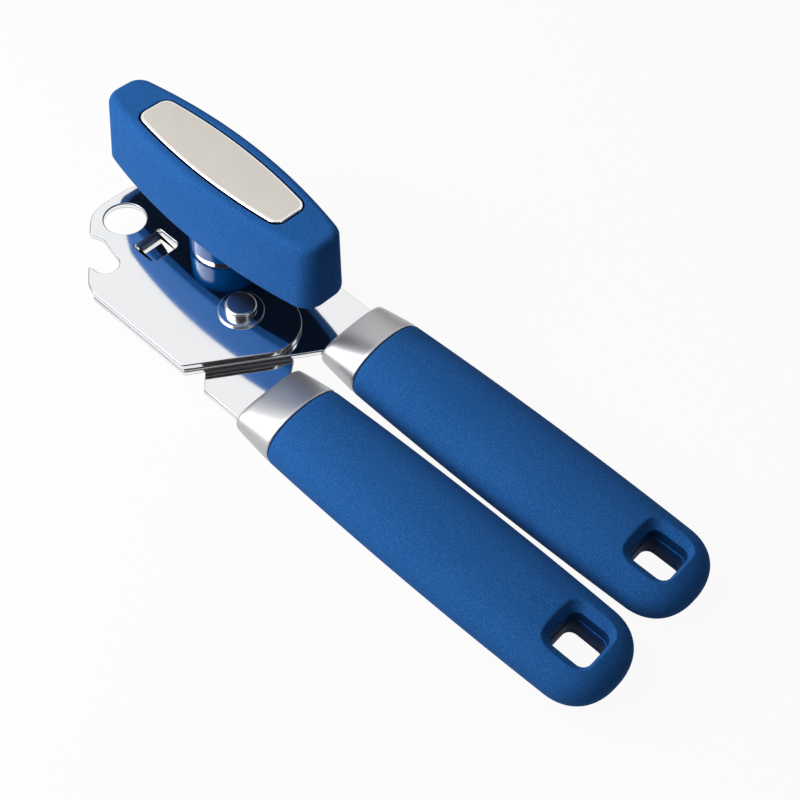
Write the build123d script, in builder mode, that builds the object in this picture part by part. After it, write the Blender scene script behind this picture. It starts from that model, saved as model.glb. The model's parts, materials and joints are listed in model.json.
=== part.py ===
"""Manual can opener lying on a table, knob upwards.

Units are millimetres. +X runs from the head to the handle ends, +Y to the back handle and +Z up.
The origin is the middle of the footprint, on the table.
The front lever carries the head plate, the shaft bush and the knob; the back lever carries the cutter.
Both levers turn on the pivot rivet, so squeezing the handles closes the cutter on the feed wheel.
"""

from math import atan2, cos, degrees, hypot, radians, sin
import os

from build123d import *

os.makedirs("parts", exist_ok=True)

# Clearances
slide_gap = 0.05  # between plates that slide on each other
run_gap = 0.05  # radial, between a journal and its bore
float_gap = 0.1  # axial play of turning pieces
swing_gap = 1.4  # between swinging pieces and what they pass
mouth_gap = 0.2  # round a tongue where it enters its ferrule
seam = 0.3  # open line between ferrule and grip
inlay_gap = 0.35  # groove round the knob inlay

# Plates
plate_thickness = 2.0
plate_edge = 0.35  # rounding of the polished edges

# Handles
grip_length = 110.0
handle_thickness = 18.8
handle_spacing = 33.3  # between the two handle axes
grip_root_width = 27.4
grip_middle_width = 29.9
grip_end_width = 28.6
grip_end_length = 14.2  # rounded end
handle_round = 9.2  # rounding of the long edges
hang_hole_setback = 14.6  # hole middle to handle end
hang_hole_length = 11.2
hang_hole_width = 11.8
hang_hole_land = 11.4  # height of the straight part, in the middle of the thickness
hang_hole_flare_length = 1.6  # growth of each half size up to the rim
hang_hole_flare_width = 2.6
hang_hole_flare_run = 1.3  # the flare is cut this much taller, past the surface
hang_hole_corner = 2.6
hang_hole_rim_corner = 3.6

# Ferrules, handle cores and tangs
ferrule_length = 13.5
ferrule_mouth_width = 24.0
ferrule_mouth_height = 7.0
ferrule_mouth_round = 2.6
mouth_depth = 1.5  # how far a tongue enters its ferrule
core_width = 18.0
core_height = 8.0
core_length = 84.0
core_spigot = 6.0  # part of the core inside the ferrule
core_round = 1.5
tongue_width = 21.0
tang_width = 13.0
tang_length = 62.0  # past the start of the grip
back_tongue_inset = 1.2  # back tongue, inwards of its handle axis

# Pivot
pivot_setback = 25.7  # pivot to the front of the ferrules
pivot_offset = 2.2  # pivot to the middle line, towards the front
rivet_radius = 3.0
rivet_head_radius = 4.6
rivet_head_height = 2.4
rivet_foot_height = 1.3
rivet_chamfer = 0.8
pivot_washer_radius = 6.75
pivot_washer_thickness = 0.7
pivot_washer_round = 0.3

# Head plate, measured from the pivot
head_reach = 59.8  # to the nose
front_edge_drop = 25.6  # to the straight front edge
corner_reach = 3.9  # to the front right corner, towards the handles
corner_radius = 1.6
tail_reach = 7.0  # to the middle of the rounded tail
tail_rise = 1.0
tail_radius = 11.8
bush_land = 2.5  # plate kept round the bush flange
nose_low_radius = 11.5
nose_low_drop = 0.3
nose_high_radius = 13.0
nose_high_rise = 6.7
shoulder_radius = 8.8  # rounded corner beside the notch
shoulder_reach = 33.5
plate_hole_radius = 6.35
plate_hole_setback = 9.4  # from the nose
notch_radius = 3.9
notch_reach = 40.6
notch_drop = 15.7
notch_wrap = 12.0  # degrees that the notch's round carries on to its lower lip
tip_radius = 0.6  # rounding of the hook and lip
horn_length = 13.8  # hook over the notch, from the notch middle
horn_rise = 3.7
horn_root_length = 8.5
horn_root_rise = 5.9
tab_slot_length = 9.6
tab_slot_width = 10.2
tab_slot_corner = 1.8
tab_reach = 40.8  # pivot to the bend of the tab
tab_rise = 0.5  # pivot line to the middle of the tab, towards the front
tab_width = 8.0
tab_drop = 3.4  # below the plate
tab_bend = 0.5  # inside radius

# Levers, measured from the pivot
front_lever_eye = 13.5
front_lever_neck = 14.0
shaft_eye = 9.5
front_lever_heel = 11.2  # to where the bevelled corner meets the tongue's front edge
front_lever_bevel = 2.5
front_lever_shoulder = 21.4  # to the corner in front of the ferrule
back_lever_shoulder = 7.0  # to where the back edge meets the tongue
back_lever_nose_gap = 1.1  # between the back lever and the tab
back_lever_bevel = 2.5  # front corner of its nose
back_lever_ledge = 2.0  # its nose, short of the back of the tab slot
cutter_land = 4.0  # plate kept beside the cutter axle
cam_end = 82.0  # degrees round the pivot, where the cut-away for the bush ends

# Drive
shaft_reach = 22.9  # pivot to shaft, towards the head
shaft_rise = 15.1  # pivot to shaft, towards the back
shaft_radius = 3.5
shaft_spigot_radius = 2.75
shaft_flat = 0.8  # depth of the flats that drive the knob and the wheel
bush_radius = 5.5
bush_flange_radius = 10.0
bush_flange_height = 0.8
knob_washer_thickness = 0.5
feed_radius = 7.5
feed_thickness = 3.1
feed_teeth = 24
feed_tooth_depth = 0.8
clip_radius = 4.5
clip_thickness = 0.9
thrust_washer_radius = 6.0
thrust_washer_thickness = 1.3

# Cutter
cutter_radius = 9.0
cutter_thickness = 2.0
cutter_edge = 0.25
cutter_gap = 0.4  # between the cutter and the front lever
cutter_flat_radius = 6.0
edge_overlap = 0.5  # of cutter and feed wheel, seen from above
axle_radius = 2.5
axle_shoulder_radius = 4.5
axle_head_radius = 4.0
axle_foot_radius = 4.2
axle_foot_height = 1.3
axle_countersink = 1.4

# Knob
knob_angle = -1.6  # turn of the knob in the pose shown
knob_length = 88.4
knob_width = 26.0  # in the middle
knob_end_width = 15.2
knob_height = 22.3
knob_corner = 6.5
knob_draft = 1.2  # how far each side leans in, from bottom to top
knob_top_round = 2.2
knob_clearance = 10.9  # knob body above the head plate
hub_radius = 10.5
core_block_length = 60.0
core_block_width = 14.0
core_block_height = 17.5
core_block_corner = 4.0
inlay_length = 58.6
inlay_width = 17.0
inlay_end_width = 11.8
inlay_corner = 1.8
inlay_thickness = 1.4
inlay_proud = 0.3
inlay_bevel = 0.6
screw_head_radius = 3.8
screw_head_height = 2.5
screw_radius = 1.7
screw_length = 8.0
screw_slot_width = 1.0
screw_slot_depth = 1.1
screw_access_gap = 0.4
shaft_grip = 20.5  # length of the shaft inside the knob

# Places along the object
overall_length = knob_length / 2 + shaft_reach + pivot_setback + ferrule_length + grip_length
pivot_x = -overall_length / 2 + knob_length / 2 + shaft_reach
pivot_y = -pivot_offset
nose_x = pivot_x - head_reach
ferrule_front_x = pivot_x + pivot_setback
grip_start_x = ferrule_front_x + ferrule_length
handle_end_x = grip_start_x + grip_length
shaft_x = pivot_x - shaft_reach
shaft_y = pivot_y + shaft_rise
cutter_x = shaft_x
cutter_y = shaft_y - (feed_radius + cutter_radius - edge_overlap)

# Levels
handle_z = handle_thickness / 2
front_lever_z = handle_z - plate_thickness
back_lever_z = handle_z + slide_gap
back_lever_thickness = plate_thickness - 2 * slide_gap
head_plate_z = handle_z + plate_thickness
plate_top_z = head_plate_z + plate_thickness
wheel_top_z = front_lever_z - float_gap - thrust_washer_thickness
wheel_z = wheel_top_z - feed_thickness
clip_z = wheel_z - clip_thickness
bush_top_z = plate_top_z + bush_flange_height
hub_z = bush_top_z + float_gap + knob_washer_thickness
knob_z = plate_top_z + knob_clearance
knob_top_z = knob_z + knob_height
inlay_z = knob_top_z + inlay_proud - inlay_thickness
shaft_top_z = hub_z + shaft_grip
cutter_top_z = front_lever_z - cutter_gap
cutter_z = cutter_top_z - cutter_thickness
knob_plane = Plane(Location((shaft_x, shaft_y, 0), (0, 0, knob_angle)))


def from_pivot(along, across):
    """Point in plan, measured from the pivot."""
    return (pivot_x + along, pivot_y + across)


def from_notch(along, across):
    """Point in plan, measured from the middle of the notch."""
    return from_pivot(along - notch_reach, across - notch_drop)


def save(part, name):
    """Label a finished part and write its file."""
    part.label = name
    export_step(part, f"parts/{name}.step")


def barrel(length, width, end_width, corner):
    """Outline with bowed long sides and straight ends, centred on its plane."""
    with BuildSketch() as outline:
        with BuildLine():
            ThreePointArc((-length / 2, -end_width / 2), (0, -width / 2), (length / 2, -end_width / 2))
            Line((length / 2, -end_width / 2), (length / 2, end_width / 2))
            ThreePointArc((length / 2, end_width / 2), (0, width / 2), (-length / 2, end_width / 2))
            Line((-length / 2, end_width / 2), (-length / 2, -end_width / 2))
        make_face()
        fillet(outline.vertices(), corner)
    return outline.sketch


def shaft_section(radius):
    """Round section with one flat, centred on its plane."""
    with BuildSketch() as section:
        Circle(radius)
        with Locations((radius, 0)):
            Rectangle(2 * shaft_flat, 2 * radius, mode=Mode.SUBTRACT)
    return section.sketch


# Head plate: a hull round its corners, with notch, hole and bent tab
bend_outside = tab_bend + plate_thickness
tab_y = pivot_y - tab_rise
tab_x = pivot_x - tab_reach
horn_root = from_notch(-horn_root_length, horn_root_rise)
horn_tip = from_notch(-horn_length, horn_rise)
notch_lip = from_notch(-notch_radius * sin(radians(notch_wrap)), -notch_radius * cos(radians(notch_wrap)))
with BuildPart() as head_plate:
    with BuildSketch(Plane.XY.offset(head_plate_z)) as plate_outline:
        with Locations(from_pivot(tail_reach, tail_rise)):
            Circle(tail_radius)
        with Locations((shaft_x, shaft_y)):
            Circle(bush_flange_radius + bush_land)
        with Locations((nose_x + nose_low_radius, pivot_y - nose_low_drop)):
            Circle(nose_low_radius)
        with Locations((nose_x + nose_high_radius, pivot_y + nose_high_rise)):
            Circle(nose_high_radius)
        with Locations(from_pivot(-shoulder_reach, shoulder_radius - front_edge_drop)):
            Circle(shoulder_radius)
        with Locations(from_pivot(corner_reach - corner_radius, corner_radius - front_edge_drop)):
            Circle(corner_radius)
        make_hull()
        with Locations(from_notch(0, 0)):
            Circle(notch_radius, mode=Mode.SUBTRACT)
        with BuildLine():
            Polyline(from_notch(0, notch_radius), horn_root, horn_tip,
                     from_notch(-horn_length, -shoulder_radius), notch_lip, close=True)
        make_face(mode=Mode.SUBTRACT)
        for corner, radius in ((horn_root, notch_radius), (horn_tip, tip_radius), (notch_lip, tip_radius)):
            fillet(plate_outline.vertices().sort_by_distance(corner)[0], radius)
        with Locations((nose_x + plate_hole_setback, pivot_y)):
            Circle(plate_hole_radius, mode=Mode.SUBTRACT)
        with Locations((tab_x + tab_slot_length / 2, tab_y)):
            RectangleRounded(tab_slot_length, tab_slot_width, tab_slot_corner, mode=Mode.SUBTRACT)
        with Locations((shaft_x, shaft_y)):
            Circle(bush_radius, mode=Mode.SUBTRACT)
        with Locations((pivot_x, pivot_y)):
            Circle(rivet_radius, mode=Mode.SUBTRACT)
    extrude(amount=plate_thickness)
    fillet(head_plate.faces().sort_by(Axis.Z)[-1].outer_wire().edges(), plate_edge)
    with BuildSketch(Plane.XZ.offset(-tab_y)) as tab_profile:
        with Locations((tab_x, plate_top_z - bend_outside)):
            Circle(bend_outside)
            Circle(tab_bend, mode=Mode.SUBTRACT)
            with Locations((-bend_outside, 0), (0, -bend_outside)):
                Rectangle(2 * bend_outside, 2 * bend_outside, mode=Mode.SUBTRACT)
        with Locations((tab_x + tab_bend, plate_top_z - bend_outside)):
            Rectangle(plate_thickness, tab_drop - tab_bend, align=(Align.MIN, Align.MAX))
    extrude(amount=tab_width / 2, both=True)
save(head_plate.part, "head_plate")

# Front lever: eye at the pivot, neck to the shaft eye, tongue and tang into the front handle
front_axis_y = -handle_spacing / 2
front_tongue_low = front_axis_y - tongue_width / 2
front_tongue_high = front_axis_y + tongue_width / 2
front_heel_x = pivot_x + front_lever_heel
neck_angle = degrees(atan2(shaft_rise, -shaft_reach))
neck_length = hypot(shaft_reach, shaft_rise)
with BuildPart() as front_lever:
    with BuildSketch(Plane.XY.offset(front_lever_z)) as lever_outline:
        with BuildLine():
            Polyline(from_pivot(0, front_lever_eye), from_pivot(-front_lever_eye, 0),
                     (front_heel_x - front_lever_bevel, front_tongue_low + front_lever_bevel),
                     (front_heel_x, front_tongue_low),
                     (ferrule_front_x + mouth_depth, front_tongue_low),
                     (ferrule_front_x + mouth_depth, front_tongue_high),
                     (ferrule_front_x - swing_gap, front_tongue_high),
                     from_pivot(front_lever_shoulder, 0), close=True)
        make_face()
        with Locations((pivot_x, pivot_y)):
            Circle(front_lever_eye)
        with Locations((shaft_x, shaft_y)):
            Circle(shaft_eye)
        with Locations(Location(((pivot_x + shaft_x) / 2, (pivot_y + shaft_y) / 2), neck_angle)):
            Rectangle(neck_length, front_lever_neck)
        with Locations((ferrule_front_x, front_axis_y)):
            Rectangle(ferrule_length + tang_length, tang_width, align=(Align.MIN, Align.CENTER))
        with Locations((shaft_x, shaft_y)):
            Circle(bush_radius, mode=Mode.SUBTRACT)
        with Locations((pivot_x, pivot_y)):
            Circle(rivet_radius, mode=Mode.SUBTRACT)
    extrude(amount=plate_thickness)
save(front_lever.part, "front_lever")

# Back lever: cut back on an arc round the pivot, so that the bush clears it as the handles open
back_axis_y = handle_spacing / 2
back_tongue_low = back_axis_y - back_tongue_inset - tongue_width / 2
back_tongue_high = back_tongue_low + tongue_width
cam_radius = neck_length - bush_radius - swing_gap
cam_head_angle = radians(neck_angle) + (bush_radius + swing_gap) / neck_length
cam_tail_angle = radians(cam_end)
cam_middle_angle = (cam_head_angle + cam_tail_angle) / 2
lever_nose_x = tab_x + bend_outside + back_lever_nose_gap
back_corner = from_pivot(corner_reach, -front_edge_drop)


def on_cam(angle):
    """Point on the arc that clears the bush."""
    return from_pivot(cam_radius * cos(angle), cam_radius * sin(angle))


with BuildPart() as back_lever:
    with BuildSketch(Plane.XY.offset(back_lever_z)) as lever_outline:
        with BuildLine():
            ThreePointArc(on_cam(cam_head_angle), on_cam(cam_middle_angle), on_cam(cam_tail_angle))
            Polyline(on_cam(cam_tail_angle), (pivot_x + back_lever_shoulder, back_tongue_high),
                     (ferrule_front_x + mouth_depth, back_tongue_high),
                     (ferrule_front_x + mouth_depth, back_tongue_low),
                     (ferrule_front_x - slide_gap, back_tongue_low),
                     back_corner,
                     (lever_nose_x + back_lever_bevel, pivot_y - front_edge_drop),
                     (lever_nose_x, pivot_y - notch_drop + notch_radius),
                     (lever_nose_x, tab_y + tab_slot_width / 2 - back_lever_ledge),
                     (cutter_x - axle_shoulder_radius - cutter_land, cutter_y + cutter_land / 2),
                     on_cam(cam_head_angle))
        make_face()
        fillet(lever_outline.vertices().sort_by_distance(back_corner)[0], corner_radius)
        with Locations((ferrule_front_x, back_axis_y)):
            Rectangle(ferrule_length + tang_length, tang_width, align=(Align.MIN, Align.CENTER))
        with Locations((cutter_x, cutter_y)):
            Circle(axle_radius, mode=Mode.SUBTRACT)
        with Locations((pivot_x, pivot_y)):
            Circle(rivet_radius + run_gap, mode=Mode.SUBTRACT)
    extrude(amount=back_lever_thickness)
    with BuildSketch(Plane.XY.offset(back_lever_z + back_lever_thickness)):
        with Locations((cutter_x, cutter_y)):
            Circle(axle_head_radius)
    extrude(amount=-axle_countersink, taper=degrees(atan2(axle_head_radius - axle_radius, axle_countersink)),
            mode=Mode.SUBTRACT)
save(back_lever.part, "back_lever")

# Pivot rivet, headed above the washer and below the front lever
rivet_top_z = plate_top_z + pivot_washer_thickness + rivet_head_height
with BuildPart() as pivot_rivet:
    with BuildSketch(Plane.XY.offset(front_lever_z - rivet_foot_height)):
        with Locations((pivot_x, pivot_y)):
            Circle(rivet_head_radius)
    extrude(amount=rivet_foot_height)
    with BuildSketch(Plane.XY.offset(front_lever_z)):
        with Locations((pivot_x, pivot_y)):
            Circle(rivet_radius)
    extrude(amount=rivet_top_z - front_lever_z)
    with BuildSketch(Plane.XY.offset(rivet_top_z - rivet_head_height)):
        with Locations((pivot_x, pivot_y)):
            Circle(rivet_head_radius)
    extrude(amount=rivet_head_height)
    chamfer(pivot_rivet.edges().group_by(Axis.Z)[-1], rivet_chamfer)
save(pivot_rivet.part, "pivot_rivet")

with BuildPart() as pivot_washer:
    with BuildSketch(Plane.XY.offset(plate_top_z)):
        with Locations((pivot_x, pivot_y)):
            Circle(pivot_washer_radius)
            Circle(rivet_radius, mode=Mode.SUBTRACT)
    extrude(amount=pivot_washer_thickness)
    fillet(pivot_washer.edges().group_by(Axis.Z)[-1].sort_by(SortBy.RADIUS)[-1], pivot_washer_round)
save(pivot_washer.part, "pivot_washer")

# Shaft bush, pressed through the head plate and the front lever
with BuildPart() as shaft_bush:
    with BuildSketch(Plane.XY.offset(front_lever_z)):
        with Locations((shaft_x, shaft_y)):
            Circle(bush_radius)
    extrude(amount=bush_top_z - front_lever_z)
    with BuildSketch(Plane.XY.offset(plate_top_z)):
        with Locations((shaft_x, shaft_y)):
            Circle(bush_flange_radius)
    extrude(amount=bush_flange_height)
    with BuildSketch(Plane.XY.offset(front_lever_z)):
        with Locations((shaft_x, shaft_y)):
            Circle(shaft_radius + run_gap)
    extrude(amount=bush_top_z - front_lever_z, mode=Mode.SUBTRACT)
save(shaft_bush.part, "shaft_bush")

# Cutter axle: a shoulder rivet, flush with the top of the back lever
axle_plane = Plane(origin=(cutter_x, cutter_y, 0), z_dir=(0, -1, 0), x_dir=(1, 0, 0))
axle_top_z = back_lever_z + back_lever_thickness
axle_shoulder_z = cutter_top_z + float_gap
axle_foot_z = cutter_z - float_gap
with BuildPart() as cutter_axle:
    with BuildSketch(axle_plane):
        with BuildLine():
            Polyline((0, axle_foot_z - axle_foot_height), (axle_foot_radius, axle_foot_z - axle_foot_height),
                     (axle_foot_radius, axle_foot_z), (axle_radius, axle_foot_z),
                     (axle_radius, axle_shoulder_z), (axle_shoulder_radius, axle_shoulder_z),
                     (axle_shoulder_radius, back_lever_z), (axle_radius, back_lever_z),
                     (axle_radius, axle_top_z - axle_countersink), (axle_head_radius, axle_top_z),
                     (0, axle_top_z), close=True)
        make_face()
    revolve(axis=Axis((cutter_x, cutter_y, 0), (0, 0, 1)))
save(cutter_axle.part, "cutter_axle")

with BuildPart() as cutter_wheel:
    with BuildSketch(axle_plane):
        with BuildLine():
            Polyline((axle_radius + run_gap, cutter_z), (cutter_flat_radius, cutter_z),
                     (cutter_radius, cutter_top_z - cutter_edge), (cutter_radius, cutter_top_z),
                     (axle_radius + run_gap, cutter_top_z), close=True)
        make_face()
    revolve(axis=Axis((cutter_x, cutter_y, 0), (0, 0, 1)))
save(cutter_wheel.part, "cutter_wheel")

# Drive shaft: flatted at both ends, tapped at the top for the knob screw
with BuildPart() as drive_shaft:
    with BuildSketch(knob_plane.offset(clip_z)):
        add(shaft_section(shaft_spigot_radius))
    extrude(amount=wheel_top_z - clip_z)
    with BuildSketch(knob_plane.offset(wheel_top_z)):
        Circle(shaft_radius)
    extrude(amount=hub_z - wheel_top_z)
    with BuildSketch(knob_plane.offset(hub_z)):
        add(shaft_section(shaft_radius))
    extrude(amount=shaft_grip)
    with BuildSketch(knob_plane.offset(shaft_top_z)):
        Circle(screw_radius)
    extrude(amount=-screw_length, mode=Mode.SUBTRACT)
save(drive_shaft.part, "drive_shaft")

with BuildPart() as feed_wheel:
    with BuildSketch(knob_plane.offset(wheel_z)):
        Circle(feed_radius)
        with PolarLocations(feed_radius, feed_teeth):
            RegularPolygon(feed_tooth_depth, 4, mode=Mode.SUBTRACT)
        add(shaft_section(shaft_spigot_radius), mode=Mode.SUBTRACT)
    extrude(amount=feed_thickness)
save(feed_wheel.part, "feed_wheel")

with BuildPart() as feed_wheel_clip:
    with BuildSketch(knob_plane.offset(clip_z)):
        Circle(clip_radius)
        add(shaft_section(shaft_spigot_radius), mode=Mode.SUBTRACT)
    extrude(amount=clip_thickness)
save(feed_wheel_clip.part, "feed_wheel_clip")

with BuildPart() as thrust_washer:
    with BuildSketch(knob_plane.offset(wheel_top_z)):
        Circle(thrust_washer_radius)
        Circle(shaft_radius, mode=Mode.SUBTRACT)
    extrude(amount=thrust_washer_thickness)
save(thrust_washer.part, "thrust_washer")

with BuildPart() as knob_washer:
    with BuildSketch(knob_plane.offset(hub_z - knob_washer_thickness)):
        Circle(bush_flange_radius)
        Circle(shaft_radius, mode=Mode.SUBTRACT)
    extrude(amount=knob_washer_thickness)
save(knob_washer.part, "knob_washer")

# Knob core: hub below, stiff block inside the shell, socket for shaft and screw
core_top_z = knob_z + core_block_height
with BuildPart() as knob_core:
    with BuildSketch(knob_plane.offset(hub_z)):
        Circle(hub_radius)
    extrude(amount=knob_z - hub_z)
    with BuildSketch(knob_plane.offset(knob_z)):
        RectangleRounded(core_block_length, core_block_width, core_block_corner)
    extrude(amount=core_block_height)
    with BuildSketch(knob_plane.offset(hub_z)):
        add(shaft_section(shaft_radius))
    extrude(amount=shaft_grip, mode=Mode.SUBTRACT)
    with BuildSketch(knob_plane.offset(shaft_top_z)):
        Circle(screw_head_radius + screw_access_gap)
    extrude(amount=core_top_z - shaft_top_z, mode=Mode.SUBTRACT)
save(knob_core.part, "knob_core")

with BuildPart() as knob_shell:
    for level, inset in ((knob_z, 0), (knob_top_z, knob_draft)):
        with BuildSketch(knob_plane.offset(level)):
            add(barrel(knob_length - 2 * inset, knob_width - 2 * inset, knob_end_width - 2 * inset,
                       knob_corner - inset))
    loft(ruled=True)
    fillet(knob_shell.edges().group_by(Axis.Z)[-1], knob_top_round)
    with BuildSketch(knob_plane.offset(inlay_z)):
        add(barrel(inlay_length + 2 * inlay_gap, inlay_width + 2 * inlay_gap, inlay_end_width + 2 * inlay_gap,
                   inlay_corner + inlay_gap))
    extrude(amount=inlay_thickness, mode=Mode.SUBTRACT)
    with BuildSketch(knob_plane.offset(knob_z)):
        RectangleRounded(core_block_length, core_block_width, core_block_corner)
    extrude(amount=core_block_height, mode=Mode.SUBTRACT)
    with BuildSketch(knob_plane.offset(core_top_z)):
        Circle(screw_head_radius + screw_access_gap)
    extrude(amount=inlay_z - core_top_z, mode=Mode.SUBTRACT)
save(knob_shell.part, "knob_shell")

with BuildPart() as knob_inlay:
    with BuildSketch(knob_plane.offset(inlay_z)):
        add(barrel(inlay_length, inlay_width, inlay_end_width, inlay_corner))
    extrude(amount=inlay_thickness)
    chamfer(knob_inlay.edges().group_by(Axis.Z)[-1], inlay_bevel)
save(knob_inlay.part, "knob_inlay")

with BuildPart() as knob_screw:
    with BuildSketch(knob_plane.offset(shaft_top_z - screw_length)):
        Circle(screw_radius)
    extrude(amount=screw_length)
    with BuildSketch(knob_plane.offset(shaft_top_z)):
        Circle(screw_head_radius)
    extrude(amount=screw_head_height)
    with BuildSketch(knob_plane.offset(shaft_top_z + screw_head_height)):
        Rectangle(2 * screw_head_radius, screw_slot_width)
        Rectangle(screw_slot_width, 2 * screw_head_radius)
    extrude(amount=-screw_slot_depth, mode=Mode.SUBTRACT)
save(knob_screw.part, "knob_screw")

# Handles: ferrule, core and grip, the same on both sides
lever_levels = {"front": (front_axis_y, front_axis_y, front_lever_z, plate_thickness),
                "back": (back_axis_y, back_axis_y - back_tongue_inset, back_lever_z, back_lever_thickness)}
core_start_x = grip_start_x - core_spigot
grip_front_x = grip_start_x + seam
round_start_x = handle_end_x - grip_end_length
grip_middle_x = (grip_front_x + round_start_x) / 2
flare_end = hang_hole_land / 2 + (handle_thickness - hang_hole_land) / 2 * hang_hole_flare_run
hang_hole_x = handle_end_x - hang_hole_setback
for side, (axis_y, tongue_y, lever_z, lever_thickness) in lever_levels.items():
    tang_middle_z = lever_z + lever_thickness / 2

    with BuildPart() as ferrule:
        for share in (0, 0.5, 1):
            rise = sin(radians(90 * share))
            with BuildSketch(Plane.YZ.offset(ferrule_front_x + ferrule_length * share)):
                with Locations((axis_y, handle_z)):
                    RectangleRounded(ferrule_mouth_width + (grip_root_width - ferrule_mouth_width) * rise,
                                     ferrule_mouth_height + (handle_thickness - ferrule_mouth_height) * rise,
                                     ferrule_mouth_round + (handle_round - ferrule_mouth_round) * rise)
        loft()
        with Locations((ferrule_front_x, tongue_y, tang_middle_z)):
            Box(mouth_depth, tongue_width + 2 * mouth_gap, lever_thickness + 2 * mouth_gap,
                align=(Align.MIN, Align.CENTER, Align.CENTER), mode=Mode.SUBTRACT)
        with Locations((ferrule_front_x, axis_y, tang_middle_z)):
            Box(ferrule_length, tang_width, lever_thickness, align=(Align.MIN, Align.CENTER, Align.CENTER),
                mode=Mode.SUBTRACT)
        with BuildSketch(Plane.YZ.offset(core_start_x)):
            with Locations((axis_y, handle_z)):
                RectangleRounded(core_width, core_height, core_round)
        extrude(amount=core_spigot, mode=Mode.SUBTRACT)
    save(ferrule.part, f"{side}_ferrule")

    with BuildPart() as handle_core:
        with BuildSketch(Plane.YZ.offset(core_start_x)):
            with Locations((axis_y, handle_z)):
                RectangleRounded(core_width, core_height, core_round)
        extrude(amount=core_length)
        with Locations((core_start_x, axis_y, tang_middle_z)):
            Box(core_spigot + tang_length, tang_width, lever_thickness,
                align=(Align.MIN, Align.CENTER, Align.CENTER), mode=Mode.SUBTRACT)
    save(handle_core.part, f"{side}_handle_core")

    with BuildPart() as grip:
        with BuildSketch() as grip_outline:
            with BuildLine():
                for across in (-1, 1):
                    ThreePointArc((grip_front_x, axis_y + across * grip_root_width / 2),
                                  (grip_middle_x, axis_y + across * grip_middle_width / 2),
                                  (round_start_x, axis_y + across * grip_end_width / 2))
                ThreePointArc((round_start_x, axis_y - grip_end_width / 2), (handle_end_x, axis_y),
                              (round_start_x, axis_y + grip_end_width / 2))
                Line((grip_front_x, axis_y - grip_root_width / 2),
                     (grip_front_x, axis_y + grip_root_width / 2))
            make_face()
        extrude(amount=handle_thickness)
        rim_edges = grip.edges().filter_by(Plane.XY)
        fillet(rim_edges.filter_by(lambda edge: edge.bounding_box().size.X > seam), handle_round)
        with BuildSketch(Plane.YZ.offset(grip_start_x)):
            with Locations((axis_y, handle_z)):
                RectangleRounded(core_width, core_height, core_round)
        extrude(amount=core_length - core_spigot, mode=Mode.SUBTRACT)
        with BuildSketch(Plane.XY.offset(handle_z)):
            with Locations((hang_hole_x, axis_y)):
                RectangleRounded(hang_hole_length, hang_hole_width, hang_hole_corner)
        extrude(amount=hang_hole_land / 2, both=True, mode=Mode.SUBTRACT)
        for up in (-1, 1):
            with BuildSketch(Plane.XY.offset(handle_z + up * hang_hole_land / 2)):
                with Locations((hang_hole_x, axis_y)):
                    RectangleRounded(hang_hole_length, hang_hole_width, hang_hole_corner)
            with BuildSketch(Plane.XY.offset(handle_z + up * flare_end)):
                with Locations((hang_hole_x, axis_y)):
                    RectangleRounded(hang_hole_length + 2 * hang_hole_flare_length * hang_hole_flare_run,
                                     hang_hole_width + 2 * hang_hole_flare_width * hang_hole_flare_run,
                                     hang_hole_rim_corner)
            loft(mode=Mode.SUBTRACT)
    save(grip.part, f"{side}_grip")
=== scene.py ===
"""Looks of the manual can opener: its finishes, soft grips, ferrules, knob and rivet, and the studio round it.

Shapes are worked out in millimetres, in the frame of the solids, and become metres when a mesh is finished.
"""

import json
import logging
import math
from collections.abc import Sequence
from dataclasses import dataclass
from enum import Enum
from functools import cached_property, reduce
from operator import add

import bmesh
import bpy
from mathutils import Matrix, Vector


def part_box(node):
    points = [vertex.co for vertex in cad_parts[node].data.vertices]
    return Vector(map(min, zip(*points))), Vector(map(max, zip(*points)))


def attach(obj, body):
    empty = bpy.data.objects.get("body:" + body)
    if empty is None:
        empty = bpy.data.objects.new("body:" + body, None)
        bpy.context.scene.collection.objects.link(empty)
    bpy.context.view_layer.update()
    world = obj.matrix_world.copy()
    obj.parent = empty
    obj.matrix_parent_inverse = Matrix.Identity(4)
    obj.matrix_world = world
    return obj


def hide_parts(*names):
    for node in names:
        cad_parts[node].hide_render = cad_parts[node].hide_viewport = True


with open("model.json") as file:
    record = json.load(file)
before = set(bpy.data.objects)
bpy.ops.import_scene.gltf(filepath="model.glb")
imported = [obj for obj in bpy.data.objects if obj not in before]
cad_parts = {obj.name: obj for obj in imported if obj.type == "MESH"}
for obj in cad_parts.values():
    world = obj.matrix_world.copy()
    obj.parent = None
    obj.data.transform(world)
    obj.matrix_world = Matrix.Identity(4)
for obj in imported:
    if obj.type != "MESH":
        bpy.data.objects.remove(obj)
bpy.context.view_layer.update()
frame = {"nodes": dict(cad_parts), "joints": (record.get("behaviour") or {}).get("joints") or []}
log = logging.getLogger("can_opener")

# A millimetre in metres, then distances in millimetres within which points match.
MM = 0.001
NEAR = 1e-3
SAME = 1e-4
# Part of the height of a crowned top, under which a point counts as lying on the outline.
ON_OUTLINE = 1e-6
# Crease angle of soft pieces, in degrees, and turn of the knob at rest, in radians.
SOFT_CREASE = 50.0
KNOB_TURN = math.radians(-1.6)
# Steps of a small rounding.
ROUND_STEPS = 3

Colour = tuple[float, float, float, float]
Places = list[Vector]


class Side(Enum):
    """The two handles."""

    FRONT = "front"
    BACK = "back"


class Body(Enum):
    """The rigid bodies that pieces ride on."""

    FRONT = "front_lever_assembly"
    BACK = "back_lever_assembly"
    DRIVE = "drive"


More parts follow.
